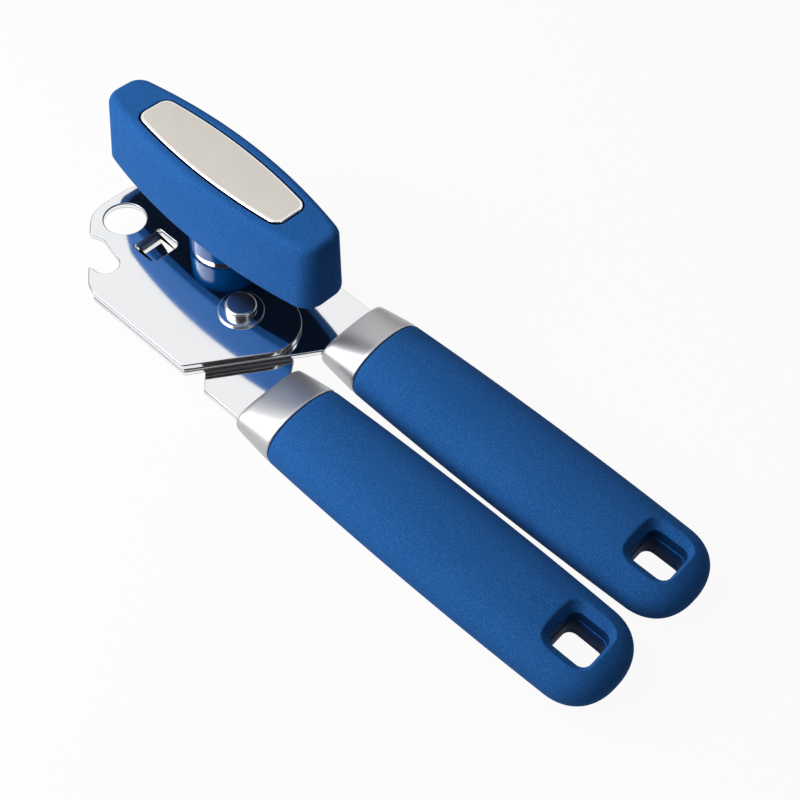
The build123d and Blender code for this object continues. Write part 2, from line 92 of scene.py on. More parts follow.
def colour(red: int, green: int, blue: int) -> Colour:
    """Turn a screen colour into the linear colour that shaders take.

    Args:
        red: Red, 0 to 255.
        green: Green, 0 to 255.
        blue: Blue, 0 to 255.

    Returns:
        The linear colour with full alpha.
    """
    shares = [value / 255 for value in (red, green, blue)]
    red_l, green_l, blue_l = (s / 12.92 if s <= 0.04045 else ((s + 0.055) / 1.055) ** 2.4 for s in shares)
    return red_l, green_l, blue_l, 1.0


def joint_place(name: str) -> tuple[float, float]:
    """Place of a joint's axis in plan, in millimetres."""
    joint = next(joint for joint in frame["joints"] if joint["name"] == name)
    return joint["pos_m"][0] / MM, joint["pos_m"][1] / MM


# Shader building


@dataclass(frozen=True)
class Signal:
    """A value socket of a shader, with arithmetic that adds Math nodes."""

    shader: "Shader"
    socket: bpy.types.NodeSocket

    def _math(self, operation: str, other: "Signal | float") -> "Signal":
        """Add one Math node for this value and another."""
        node = self.shader.node("ShaderNodeMath", {"operation": operation}, {0: self, 1: other})
        return Signal(self.shader, node.outputs[0])

    def __add__(self, other: "Signal | float") -> "Signal":
        """Sum of two values."""
        return self._math("ADD", other)

    def __mul__(self, other: "Signal | float") -> "Signal":
        """Product of two values."""
        return self._math("MULTIPLY", other)

    __radd__ = __add__
    __rmul__ = __mul__

    def at_most(self, limit: float) -> "Signal":
        """This value, but no more than the limit."""
        return self._math("MINIMUM", limit)


class Shader:
    """A material or world node tree under construction."""

    def __init__(self, owner: bpy.types.Material | bpy.types.World) -> None:
        """Clear the owner's node tree.

        Args:
            owner: Material or world that the nodes belong to.
        """
        owner.use_nodes = True
        self.tree = owner.node_tree
        self.tree.nodes.clear()

    def node(self, kind: str, settings: dict | None = None, inputs: dict | None = None) -> bpy.types.Node:
        """Add a node.

        Args:
            kind: Node type.
            settings: Properties set first; "stops" holds a ramp's positions and colours.
            inputs: Values, signals or sockets by input name or number.

        Returns:
            The new node.
        """
        made = self.tree.nodes.new(kind)
        for key, value in (settings or {}).items():
            if key == "stops":
                for element, (position, shade) in zip(made.color_ramp.elements, value):
                    element.position = position
                    element.color = shade
            else:
                setattr(made, key, value)
        for key, value in (inputs or {}).items():
            source = value.socket if isinstance(value, Signal) else value
            if isinstance(source, bpy.types.NodeSocket):
                self.tree.links.new(source, made.inputs[key])
            else:
                made.inputs[key].default_value = source
        return made

    def place(self, scale: Sequence[float] = (1, 1, 1), centre: Sequence[float] = (0, 0, 0),
              turn: float = 0.0) -> bpy.types.NodeSocket:
        """Object coordinates, moved, turned and stretched.

        Args:
            scale: Stretch along each axis.
            centre: Point that becomes the origin, in metres.
            turn: Turn about Z, in radians.

        Returns:
            The vector socket.
        """
        coordinates = self.node("ShaderNodeTexCoord").outputs["Object"]
        moved = self.node("ShaderNodeVectorMath", {"operation": "SUBTRACT"}, {0: coordinates, 1: centre})
        mapping = self.node("ShaderNodeMapping", {"vector_type": "POINT"},
                            {"Vector": moved.outputs[0], "Rotation": (0, 0, -turn), "Scale": scale})
        return mapping.outputs[0]

    def mix(self, share: Signal, first: Colour, second: Colour) -> bpy.types.NodeSocket:
        """Colour between two others."""
        made = self.node("ShaderNodeMix", {"data_type": "RGBA"}, {0: share, 6: first, 7: second})
        return made.outputs[2]

    def surface(self, **inputs: object) -> None:
        """Finish with a Principled surface.

        Args:
            inputs: Values, signals or sockets by input name, with underscores for spaces.
        """
        named = {key.replace("_", " "): value for key, value in inputs.items()}
        made = self.node("ShaderNodeBsdfPrincipled", None, named)
        self.node("ShaderNodeOutputMaterial", None, {"Surface": made.outputs[0]})

    def seen(self) -> Signal:
        """1 for what the camera, a reflection or a refraction sees, and 0 for light on the object.

        Returns:
            The value.
        """
        path = self.node("ShaderNodeLightPath")
        camera, glossy, through = (Signal(self, path.outputs[name])
                                   for name in ("Is Camera Ray", "Is Glossy Ray", "Is Transmission Ray"))
        return (camera + glossy + through).at_most(1.0)


def new_shader(name: str) -> tuple[bpy.types.Material, Shader]:
    """Make a material and its shader."""
    material = bpy.data.materials.new(name)
    return material, Shader(material)


# Finishes


@dataclass(frozen=True)
class Pattern:
    """Noise of a finish: cells for each metre, and its part in the colour and in the roughness."""

    scale: float
    tone: float
    rough: float
    detail: float = 2.0
    harshness: float = 0.5
    stretch: tuple[float, float, float] = (1.0, 1.0, 1.0)
    turn: float = 0.0

    def signal(self, shader: Shader, place: bpy.types.NodeSocket | None = None) -> Signal:
        """Smooth noise from 0 to 1.

        Args:
            shader: Shader to add it to.
            place: Coordinates, or None for the stretched and turned ones of the object.

        Returns:
            The noise value.
        """
        spot = place or shader.place(self.stretch, turn=self.turn)
        made = shader.node("ShaderNodeTexNoise", {"noise_dimensions": "3D"},
                           {"Vector": spot, "Scale": self.scale, "Detail": self.detail,
                            "Roughness": self.harshness})
        return Signal(shader, made.outputs[0])


def blend(*parts: tuple[Signal, float]) -> Signal:
    """Sum of signals, each times its share; shares of 0 are left out."""
    return reduce(add, [signal * share for signal, share in parts if share])


@dataclass(frozen=True)
class Finish:
    """Procedural finish with a fine pattern, which is also a relief in metres, and a broad one."""

    name: str
    base: Colour
    second: Colour
    roughness: float
    fine: Pattern
    broad: Pattern
    relief: float
    relief_share: float
    metallic: float = 1.0
    gloss: float = 0.5
    sheen: float = 0.0
    sheen_rough: float = 0.5

    def fine_place(self, shader: Shader) -> bpy.types.NodeSocket | None:
        """Coordinates of the fine pattern, if it has its own."""
        return None

    def tone(self, shader: Shader, fine: Signal, broad: Signal) -> Signal:
        """Place between the two colours."""
        return blend((fine, self.fine.tone), (broad, self.broad.tone))

    def make(self) -> bpy.types.Material:
        """Build the material.

        Returns:
            The material.
        """
        material, shader = new_shader(self.name)
        fine = self.fine.signal(shader, self.fine_place(shader))
        broad = self.broad.signal(shader)
        bump = shader.node("ShaderNodeBump", None,
                           {"Height": fine, "Distance": self.relief, "Strength": self.relief_share})
        shader.surface(Base_Color=shader.mix(self.tone(shader, fine, broad), self.base, self.second),
                       Metallic=self.metallic,
                       Roughness=self.roughness + blend((fine, self.fine.rough), (broad, self.broad.rough)),
                       Normal=bump.outputs[0], Specular_IOR_Level=self.gloss, Sheen_Weight=self.sheen,
                       Sheen_Roughness=self.sheen_rough)
        return material


@dataclass(frozen=True)
class SoftTouch(Finish):
    """Matt rubber-like coat with a very fine speckle."""

    fine: Pattern = Pattern(2600.0, tone=0.6, rough=0.12, detail=3.0, harshness=0.6)
    broad: Pattern = Pattern(45.0, tone=0.2, rough=0.05)
    relief: float = 0.00003
    relief_share: float = 0.5
    metallic: float = 0.0
    gloss: float = 0.02
    sheen: float = 0.02
    sheen_rough: float = 0.4
    speck_stops: tuple[tuple[float, Colour], ...] = ((0.42, (0, 0, 0, 1)), (0.66, (1, 1, 1, 1)))

    def tone(self, shader: Shader, fine: Signal, broad: Signal) -> Signal:
        """Place between the two colours, with the fine pattern sharpened into specks."""
        speck = shader.node("ShaderNodeValToRGB", {"stops": self.speck_stops}, {"Fac": fine})
        return super().tone(shader, Signal(shader, speck.outputs[0]), broad)


@dataclass(frozen=True)
class PolishedSteel(Finish):
    """Mirror-polished sheet steel with faint polishing marks and smears."""

    fine: Pattern = Pattern(5200.0, tone=0.0, rough=0.03, stretch=(1.0, 0.03, 1.0))
    broad: Pattern = Pattern(70.0, tone=0.6, rough=0.05, detail=3.0, stretch=(1.0, 0.5, 1.0), turn=0.6)
    relief: float = 0.000004
    relief_share: float = 0.25


@dataclass(frozen=True)
class BrushedSteel(Finish):
    """Satin steel with brush lines as its fine pattern."""

    broad: Pattern = Pattern(120.0, tone=0.3, rough=0.04)
    relief: float = 0.000012
    relief_share: float = 0.35


@dataclass(frozen=True)
class TurnedSteel(Finish):
    """Ground tool steel with rings round an upright axis."""

    fine: Pattern = Pattern(7000.0, tone=0.5, rough=0.15, detail=3.0, harshness=0.7)
    broad: Pattern = Pattern(300.0, tone=0.4, rough=0.06, detail=3.0)
    relief: float = 0.00001
    relief_share: float = 0.4
    axis: tuple[float, float] = (0.0, 0.0)

    def fine_place(self, shader: Shader) -> bpy.types.NodeSocket:
        """Coordinates that change only with the distance from the axis.

        Args:
            shader: Shader to add them to.

        Returns:
            The vector socket.
        """
        flat = shader.place((1, 1, 0), (self.axis[0] * MM, self.axis[1] * MM, 0))
        radius = shader.node("ShaderNodeVectorMath", {"operation": "LENGTH"}, {0: flat}).outputs["Value"]
        return shader.node("ShaderNodeCombineXYZ", None, {"X": radius}).outputs[0]


@dataclass(frozen=True)
class MouldedPlastic(Finish):
    """Satin moulded plastic with a slight flow texture."""

    fine: Pattern = Pattern(1500.0, tone=0.0, rough=0.1, detail=3.0, harshness=0.6)
    broad: Pattern = Pattern(90.0, tone=0.4, rough=0.0)
    relief: float = 0.00002
    relief_share: float = 0.2
    metallic: float = 0.0
    gloss: float = 0.4


def with_smear(red: int, green: int, blue: int, share: float = 0.9) -> tuple[Colour, Colour]:
    """A screen colour and its darker smears, for shaders."""
    base = colour(red, green, blue)
    return base, (share * base[0], share * base[1], share * base[2], 1.0)


def brush_lines(stretch: tuple[float, float, float], turn: float = 0.0) -> Pattern:
    """Fine pattern that is drawn out along the axes with a small stretch."""
    return Pattern(6500.0, tone=0.5, rough=0.14, detail=3.0, harshness=0.65, stretch=stretch, turn=turn)


class Look(Enum):
    """Finishes of the opener."""

    SOFT_BLUE = SoftTouch("soft_blue", colour(23, 76, 138), colour(52, 104, 167), 0.6)
    # Painted shade: dark navy for the walls deep in the grips' hang holes.
    SOFT_INSIDE = MouldedPlastic("hole_wall_painted_shade", colour(3, 40, 82), colour(6, 50, 98), 0.6, gloss=0.06)
    # Painted shade: near-black navy for the knob's underside and the groove round its inlay.
    KNOB_INSIDE = MouldedPlastic("knob_painted_shade", colour(3, 19, 40), colour(4, 27, 55), 0.6, gloss=0.05)
    HUB_BLUE = MouldedPlastic("hub_blue", colour(0, 62, 124), colour(0, 78, 148), 0.08, gloss=0.11)
    CORE = MouldedPlastic("core_plastic", colour(38, 40, 44), colour(52, 54, 58), 0.5)
    MIRROR = PolishedSteel("mirror_steel", *with_smear(240, 241, 243), 0.035)
    # Painted dark reflection on the rounded-over sheet edges, and painted shade on the ferrules' mouths and
    # slots.
    EDGE_STEEL = PolishedSteel("edge_steel_painted_dark", *with_smear(126, 128, 132), 0.25)
    INLAY_RIM = PolishedSteel("inlay_rim_steel", *with_smear(238, 238, 238), 0.06)
    SATIN = BrushedSteel("satin_steel", colour(196, 196, 198), colour(166, 166, 169), 0.31,
                         brush_lines((1.0, 0.02, 0.02)))
    INLAY = BrushedSteel("inlay_steel", colour(218, 213, 205), colour(188, 183, 176), 0.26,
                         brush_lines((0.02, 1.0, 1.0), KNOB_TURN))
    CUTTER_STEEL = TurnedSteel("cutter_steel", colour(190, 190, 194), colour(150, 150, 155), 0.22,
                               axis=joint_place("cutter_spin"))
    DRIVE_STEEL = TurnedSteel("drive_steel", colour(196, 196, 198), colour(158, 158, 162), 0.2,
                              axis=joint_place("knob_turn"))
    RIVET_STEEL = TurnedSteel("rivet_steel", colour(176, 178, 182), colour(146, 148, 152), 0.1,
                              axis=joint_place("handle_hinge"))

    @cached_property
    def material(self) -> bpy.types.Material:
        """The finish's material, built once."""
        return self.value.make()


# Mesh building


def node_box(node: str) -> tuple[Vector, Vector]:
    """Lowest and highest corner of a solid, in millimetres."""
    low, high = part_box(node)
    return low / MM, high / MM


class Skin:
    """Surface that grows row by row from a closed row of points, in millimetres."""

    def __init__(self, places: Places) -> None:
        """Start with the first row."""
        self.bm = bmesh.new()
        self.start(places)

    def start(self, places: Places) -> None:
        """Start a closed row that stands alone.

        Args:
            places: Points of the row, in order.
        """
        self.row = bmesh.ops.create_circle(self.bm, segments=len(places), radius=1.0)["verts"]
        self.closed = True
        self.move(places)

    def move(self, places: Places) -> None:
        """Move the present row to new places."""
        for vertex, place in zip(self.row, places):
            vertex.co = place

    def edges(self) -> list[bmesh.types.BMEdge]:
        """Edges of the present row, in order."""
        nexts = self.row[1:] + self.row[:1] if self.closed else self.row[1:]
        return [self.bm.edges.get(pair) for pair in zip(self.row, nexts)]

    def grow(self, *rows: Places) -> None:
        """Extrude the present row to each new row in turn.

        Args:
            rows: Points of the rows, in the order of the present row's points.
        """
        for places in rows:
            made = bmesh.ops.extrude_edge_only(self.bm, edges=self.edges())["geom"]
            fresh = {item for item in made if isinstance(item, bmesh.types.BMVert)}
            self.row = [next(edge.other_vert(vertex) for edge in vertex.link_edges
                             if edge.other_vert(vertex) in fresh) for vertex in self.row]
            self.move(places)

    def cap(self) -> bmesh.types.BMFace:
        """Close the present row with one face."""
        return bmesh.ops.contextual_create(self.bm, geom=self.row)["faces"][0]


def finish_piece(bm: bmesh.types.BMesh, name: str, looks: Sequence[Look], body: Body, node: str,
                 crease: float = 35.0) -> bpy.types.Object:
    """Turn a mesh under construction into a piece that stands for a solid.

    Args:
        bm: Mesh in millimetres; it is freed.
        name: Name of the piece.
        looks: Finishes by face index.
        body: Body that the piece rides on.
        node: Solid that the piece replaces.
        crease: Edges sharper than this many degrees stay sharp.

    Returns:
        The piece.
    """
    bmesh.ops.remove_doubles(bm, verts=bm.verts[:], dist=SAME)
    bmesh.ops.recalc_face_normals(bm, faces=bm.faces[:])
    bmesh.ops.scale(bm, vec=(MM, MM, MM), verts=bm.verts[:])
    for face in bm.faces:
        face.smooth = True
    mesh = bpy.data.meshes.new(name)
    bm.to_mesh(mesh)
    bm.free()
    for look in looks:
        mesh.materials.append(look.material)
    mesh.set_sharp_from_angle(angle=math.radians(crease))
    piece = bpy.data.objects.new(name, mesh)
    bpy.context.scene.collection.objects.link(piece)
    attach(piece, body.value)
    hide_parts(node)
    log.info("%s: %d faces, rides on %s", name, len(mesh.polygons), body.value)
    return piece


def rounded_reach(direction: Vector, half_x: float, half_y: float, corner: float) -> float:
    """Distance from the middle of a rounded rectangle to its edge.

    Args:
        direction: Unit direction in the plane.
        half_x: Half length.
        half_y: Half width.
        corner: Corner radius.

    Returns:
        The distance along the direction.
    """
    along_x, along_y = abs(direction.x), abs(direction.y)
    if along_y * half_x <= along_x * (half_y - corner):
        return half_x / along_x
    if along_x * half_y <= along_y * (half_x - corner):
        return half_y / along_y
    middle_x, middle_y = half_x - corner, half_y - corner
    nearest = along_x * middle_x + along_y * middle_y
    return nearest + math.sqrt(nearest ** 2 - middle_x ** 2 - middle_y ** 2 + corner ** 2)


def soft_least(first: float, second: float, width: float) -> float:
    """The smaller of two heights, with a rounded change from one to the other.

    Args:
        first: First height.
        second: Second height.
        width: Difference of heights over which the change is rounded.

    Returns:
        The height.
    """
    share = min(max(0.5 + 0.5 * (second - first) / width, 0.0), 1.0)
    return second + (first - second) * share - width * share * (1 - share)


def squareness(first: float, second: float, power: float) -> float:
    """Distance of a point from the middle, 1 on a round outline at power 2 and on squarer ones above."""
    return (abs(first) ** power + abs(second) ** power) ** (1 / power)


def quarter(steps: int, first: int = 1) -> list[tuple[float, float]]:
    """Points along a quarter of a circle of radius 1, as distances from the two sides of its corner.

    Args:
        steps: Steps of the quarter.
        first: Step of the first point.

    Returns:
        A distance that grows to 1 and one that shrinks to 0, for each point.
    """
    angles = [math.radians(90 * step / steps) for step in range(first, steps + 1)]
    return [(1 - math.cos(angle), 1 - math.sin(angle)) for angle in angles]


@dataclass(frozen=True)
class Barrel:
    """Outline with bowed long sides, straight ends and rounded corners."""

    length: float
    width: float
    end_width: float
    corner: float
    side_steps: int = 14
    corner_steps: int = 10

    def inset(self, amount: float) -> "Barrel":
        """The same outline, drawn in on all sides."""
        return Barrel(self.length - 2 * amount, self.width - 2 * amount, self.end_width - 2 * amount,
                      self.corner - amount, self.side_steps, self.corner_steps)

    def points(self) -> Places:
        """Points of the outline.

        Returns:
            The points, running round once from the middle of the right end.
        """
        half, sagitta = self.length / 2, (self.width - self.end_width) / 2
        bow = (half ** 2 + sagitta ** 2) / (2 * sagitta)
        bow_y = self.width / 2 - bow
        corner_x = half - self.corner
        corner_y = bow_y + math.sqrt((bow - self.corner) ** 2 - corner_x ** 2)
        turn = math.atan2(corner_y - bow_y, corner_x)
        bend = [Vector((half, 0.0))]
        for step in range(self.corner_steps + 1):
            angle = turn * step / self.corner_steps
            bend.append(Vector((corner_x + self.corner * math.cos(angle),
                                corner_y + self.corner * math.sin(angle))))
        for step in range(1, self.side_steps + 1):
            angle = turn + (math.pi / 2 - turn) * step / self.side_steps
            bend.append(Vector((bow * math.cos(angle), bow_y + bow * math.sin(angle))))
        upper = bend + [Vector((-p.x, p.y)) for p in reversed(bend[:-1])]
        return upper + [Vector((p.x, -p.y)) for p in reversed(upper[1:-1])]


# Handles


# Rows of a hang hole's wall round its ledge and under its crest: growth of the hole, and height over the ledge
# or the crest. The ledge lies between the second row and the third.
LEDGE_ROWS = ((-0.1, -0.1), (-0.09, 0.0), (-0.02, 0.15), (-0.005, 0.4))
CREST_ROWS = ((0.01, -0.15), (0.02, 0.0))
# Growth at the rows from the crest to the rim, and from the rim to the outline of the grip.
FLARE_ROWS = (0.05, 0.1, 0.17, 0.25, 0.33, 0.4, 0.45, 0.5, 0.54, 0.58, 0.62, 0.67, 0.72, 0.78, 0.85, 0.92, 1.0)
TOP_ROWS = (1.06, 1.13, 1.21, 1.3, 1.4, 1.5, 1.6, 1.69, 1.77, 1.84, 1.9, 1.945, 1.975, 1.993, 2.0)


@dataclass
class Grip:
    """Soft grip of one handle with its flared hang hole, in millimetres."""

    side: Side
    root_width: float = 27.4
    end_width: float = 28.6
    end_length: float = 14.2
    end_setback: float = 0.8
    end_squareness: float = 2.3
    end_half: float = 8.4
    root_fullness: float = 2.2
    end_fullness: float = 2.3
    front_round: float = 0.6
    hole_setback: float = 14.1
    hole_length: float = 12.0
    hole_width: float = 11.8
    hole_corner: float = 2.6
    hole_land: float = 10.8
    rim_growth_x: float = 1.8
    rim_growth_y: float = 4.3
    rim_corner: float = 4.8
    rim_shift: float = -0.36
    lip: float = 0.3
    ledge: float = 2.1
    split_reach: float = 17.5
    split_steps: int = 32
    side_steps: int = 12
    end_steps: int = 48
    body_steps: int = 26

    def __post_init__(self) -> None:
        """Take the place and the main sizes from the solid."""
        low, high = node_box(f"{self.side.value}_grip")
        self.front_x, self.end_x = low.x, high.x
        self.axis_y, self.middle_z = (low.y + high.y) / 2, (low.z + high.z) / 2
        self.half = (high.z - low.z) / 2
        mean, self.slope = (self.end_width + self.root_width) / 2, (self.end_width - self.root_width) / 2
        bulge = high.y - low.y - mean
        self.middle_width = mean + (bulge + math.sqrt(bulge ** 2 - self.slope ** 2)) / 2
        self.bow = mean - self.middle_width
        self.round_x = self.end_x - self.end_length
        self.dome = self.end_length - self.end_setback
        self.hole_x = self.end_x - self.hole_setback
        self.split_x = self.hole_x - self.split_reach

    def half_width(self, x: float) -> float:
        """Half width of the outline.

        Args:
            x: Place along the grip.

        Returns:
            Distance from the middle to the outline.
        """
        middle_x = (self.front_x + self.round_x) / 2
        share = (x - middle_x) / (self.round_x - middle_x)
        return (self.middle_width + self.slope * share + self.bow * share ** 2) / 2

    def along(self, x: float, root: float, end: float) -> float:
        """Value that changes evenly from the root of the grip to where its end begins."""
        return root + (end - root) * min((x - self.front_x) / (self.round_x - self.front_x), 1.0)

    def top(self, x: float, y: float) -> float:
        """Height of the crowned top over the middle plane, without the hole.

        Args:
            x: Place along the grip.
            y: Place across the grip, from its middle.

        Returns:
            The height, which is 0 on the outline.
        """
        fullness = self.along(x, self.root_fullness, self.end_fullness)
        height = self.along(x, self.half, self.end_half)
        beyond = max(x - self.round_x, 0.0) / self.dome
        across = y / self.half_width(min(x, self.round_x))
        rest = 1 - min(squareness(beyond, across, self.end_squareness), 1.0) ** fullness
        return height * rest ** (1 / fullness) if rest > ON_OUTLINE else 0.0

    def outer_points(self) -> Places:
        """Points round the end of the grip.

        Returns:
            Points in plan, from the front corner round the end and back across the grip.
        """
        points = []
        for step in range(self.side_steps):
            x = self.split_x + (self.round_x - self.split_x) * step / self.side_steps
            points.append(Vector((x, -self.half_width(x))))
        for step in range(self.end_steps + 1):
            angle = math.pi / 2 * (2 * step / self.end_steps - 1)
            ahead, across = math.cos(angle), math.sin(angle)
            reach = 1 / squareness(ahead, across, self.end_squareness)
            points.append(Vector((self.round_x + self.dome * ahead * reach,
                                  self.end_width / 2 * across * reach)))
        points += [Vector((p.x, -p.y)) for p in reversed(points[:self.side_steps])]
        split_half = self.half_width(self.split_x)
        return points + [Vector((self.split_x, split_half * share)) for share in self.shares()[1:-1]]

    def shares(self) -> list[float]:
        """Places across the grip, from one side to the other, close together at the sides."""
        return [math.cos(math.pi * step / self.split_steps) for step in range(self.split_steps + 1)]

    def ring(self, outer: Places, growth: float, height: float | None) -> Places:
        """Points on one ring round the hole.

        Args:
            outer: Points of the outline.
            growth: 0 at the straight part of the hole, 1 at its rim, 2 at the outline.
            height: Height of the ring, or None for the height of the surface.

        Returns:
            The points.
        """
        places = []
        half_x, half_y = self.hole_length / 2, self.hole_width / 2
        rim_x, rim_y = half_x + self.rim_growth_x, half_y + self.rim_growth_y
        middle, rim_middle = Vector((self.hole_x, 0.0)), Vector((self.hole_x + self.rim_shift, 0.0))
        for point in outer:
            direction = (point - middle).normalized()
            wall = middle + direction * rounded_reach(direction, half_x, half_y, self.hole_corner)
            rim = rim_middle + direction * rounded_reach(direction, rim_x, rim_y, self.rim_corner)
            x, y = wall.lerp(rim, growth) if growth <= 1 else rim.lerp(point, growth - 1)
            slope = growth if growth <= 1 else 1 + (point - rim).length * (growth - 1) / (rim - wall).length
            flare = self.hole_land / 2 + (self.end_half - self.hole_land / 2) * slope
            z = soft_least(self.top(x, y), flare, self.lip) if height is None else height
            places.append(Vector((x, y, z)))
        return places

    def build(self) -> None:
        """Model the upper half from the hole outwards and then to the front, and mirror it."""
        outer = self.outer_points()
        wall_rows = [(growth, self.ledge + over) for growth, over in LEDGE_ROWS]
        wall_rows += [(growth, self.hole_land / 2 + over) for growth, over in CREST_ROWS]
        skin = Skin(self.ring(outer, LEDGE_ROWS[0][0], 0.0))
        bm = skin.bm
        skin.grow(*(self.ring(outer, growth, height) for growth, height in wall_rows))
        ledge_z = self.ledge + (LEDGE_ROWS[1][1] + LEDGE_ROWS[2][1]) / 2
        wall = [face for face in bm.faces if abs(face.calc_center_median().z - ledge_z) > NEAR]
        skin.grow(*(self.ring(outer, growth, None) for growth in FLARE_ROWS + TOP_ROWS))
        skin.row = skin.row[-self.split_steps:] + skin.row[:1]
        skin.closed = False
        reach = self.front_x + self.front_round - self.split_x
        skin.grow(*(self.section(self.split_x + reach * step / self.body_steps, 0.0)
                    for step in range(1, self.body_steps + 1)))
        skin.grow(*(self.section(self.front_x + self.front_round * left, self.front_round * gone)
                    for gone, left in quarter(ROUND_STEPS)))
        # The hole's walls, but not the ledge, take the second, darker finish: painted shade deep in the hole.
        for face in wall:
            face.material_index = 1
        bmesh.ops.mirror(bm, geom=bm.verts[:] + bm.edges[:] + bm.faces[:], axis="Z", merge_dist=NEAR)
        front = [edge for edge in bm.edges
                 if edge.is_boundary and all(abs(vertex.co.x - self.front_x) < NEAR for vertex in edge.verts)]
        bmesh.ops.holes_fill(bm, edges=front, sides=0)
        bmesh.ops.translate(bm, vec=(0, self.axis_y, self.middle_z), verts=bm.verts[:])
        finish_piece(bm, f"{self.side.value}_soft_grip", [Look.SOFT_BLUE, Look.SOFT_INSIDE],
                     Body[self.side.name], f"{self.side.value}_grip", SOFT_CREASE)

    def section(self, x: float, inset: float) -> Places:
        """Points across the upper half at one place.

        Args:
            x: Place along the grip.
            inset: How far the section is drawn in.

        Returns:
            The points, from one side to the other.
        """
        width = self.half_width(x)
        keep_y, keep_z = 1 - inset / width, 1 - inset / self.half
        across = [width * share for share in self.shares()]
        return [Vector((x, y * keep_y, self.top(x, y) * keep_z)) for y in across]


@dataclass
class Ferrule:
    """Satin steel ferrule between a lever's tongue and its grip, in millimetres."""

    side: Side
    mouth_width: float = 24.0
    mouth_height: float = 7.0
    mouth_fullness: float = 3.2
    end_fullness: float = 2.2
    nose_length: float = 1.9
    nose_share: float = 0.2
    rim: float = 0.5
    slot_width: float = 21.4
    slot_depth: float = 1.45
    slot_gap: float = 0.2
    steps: int = 24
    spread: float = 1.5
    around: int = 96

    def __post_init__(self) -> None:
        """Take the place and the main sizes from the solids."""
        low, high = node_box(f"{self.side.value}_ferrule")
        lever_low, lever_high = node_box(f"{self.side.value}_lever")
        self.front_x, self.end_x = low.x, high.x
        self.axis_y, self.middle_z = (low.y + high.y) / 2, (low.z + high.z) / 2
        self.end_width, self.end_height = high.y - low.y, high.z - low.z
        self.slot_z = (lever_low.z + lever_high.z) / 2
        self.slot_height = lever_high.z - lever_low.z + 2 * self.slot_gap

    def section(self, share: float, inset: float = 0.0) -> Places:
        """Points round the ferrule.

        Args:
            share: 0 at the mouth, 1 at the grip.
            inset: How far the section is drawn in.

        Returns:
            The points.
        """
        nose = min(share * (self.end_x - self.front_x) / self.nose_length, 1.0)
        rise = self.nose_share * math.sqrt(1 - (1 - nose) ** 2) + (1 - self.nose_share) * share
        half_y = (self.mouth_width + (self.end_width - self.mouth_width) * rise) / 2 - inset
        half_z = (self.mouth_height + (self.end_height - self.mouth_height) * rise) / 2 - inset
        fullness = self.mouth_fullness + (self.end_fullness - self.mouth_fullness) * rise
        x = self.front_x + (self.end_x - self.front_x) * share
        places = []
        for step in range(self.around):
            angle = 2 * math.pi * step / self.around
            across, up = math.cos(angle), math.sin(angle)
            reach = 1 / squareness(across, up, fullness)
            places.append(Vector((x, self.axis_y + half_y * across * reach,
                                  self.middle_z + half_z * up * reach)))
        return places

    def slot(self, around: Places, x: float) -> Places:
        """Points round the slot for the tongue, each opposite a point of the mouth.

        Args:
            around: Points of the mouth.
            x: Place along the ferrule.

        Returns:
            The points.
        """
        middle = Vector((self.axis_y, self.slot_z))
        places = []
        for point in around:
            direction = (Vector((point.y, point.z)) - middle).normalized()
            reach = rounded_reach(direction, self.slot_width / 2, self.slot_height / 2, self.slot_gap)
            places.append(Vector((x, middle.x + direction.x * reach, middle.y + direction.y * reach)))
        return places

    def build(self) -> None:
        """Model the ferrule from the bottom of its slot, round the mouth and back to the grip."""
        mouth = self.section(0.0)
        skin = Skin(self.slot(mouth, self.front_x + self.slot_depth))
        skin.cap()
        skin.grow(self.slot(mouth, self.front_x), self.section(0.0, self.rim))
        rim_share = self.rim / (self.end_x - self.front_x)
        bead = 1 - rim_share
        skin.grow(*(self.section(rim_share * gone, self.rim * left) for gone, left in quarter(ROUND_STEPS)))
        mouth_faces = skin.bm.faces[:]
        skin.grow(*(self.section(rim_share + (bead - rim_share) * (step / self.steps) ** self.spread)
                    for step in range(1, self.steps + 1)))
        skin.grow(*(self.section(bead + rim_share * (1 - left), self.rim * gone)
                    for gone, left in quarter(ROUND_STEPS)))
        skin.cap()
        # The slot and the rounded rim of the mouth take the darker steel: painted shade along the mouth.
        for face in mouth_faces:
            face.material_index = 1
        finish_piece(skin.bm, f"{self.side.value}_steel_ferrule", [Look.SATIN, Look.EDGE_STEEL],
                     Body[self.side.name], f"{self.side.value}_ferrule")


# Knob


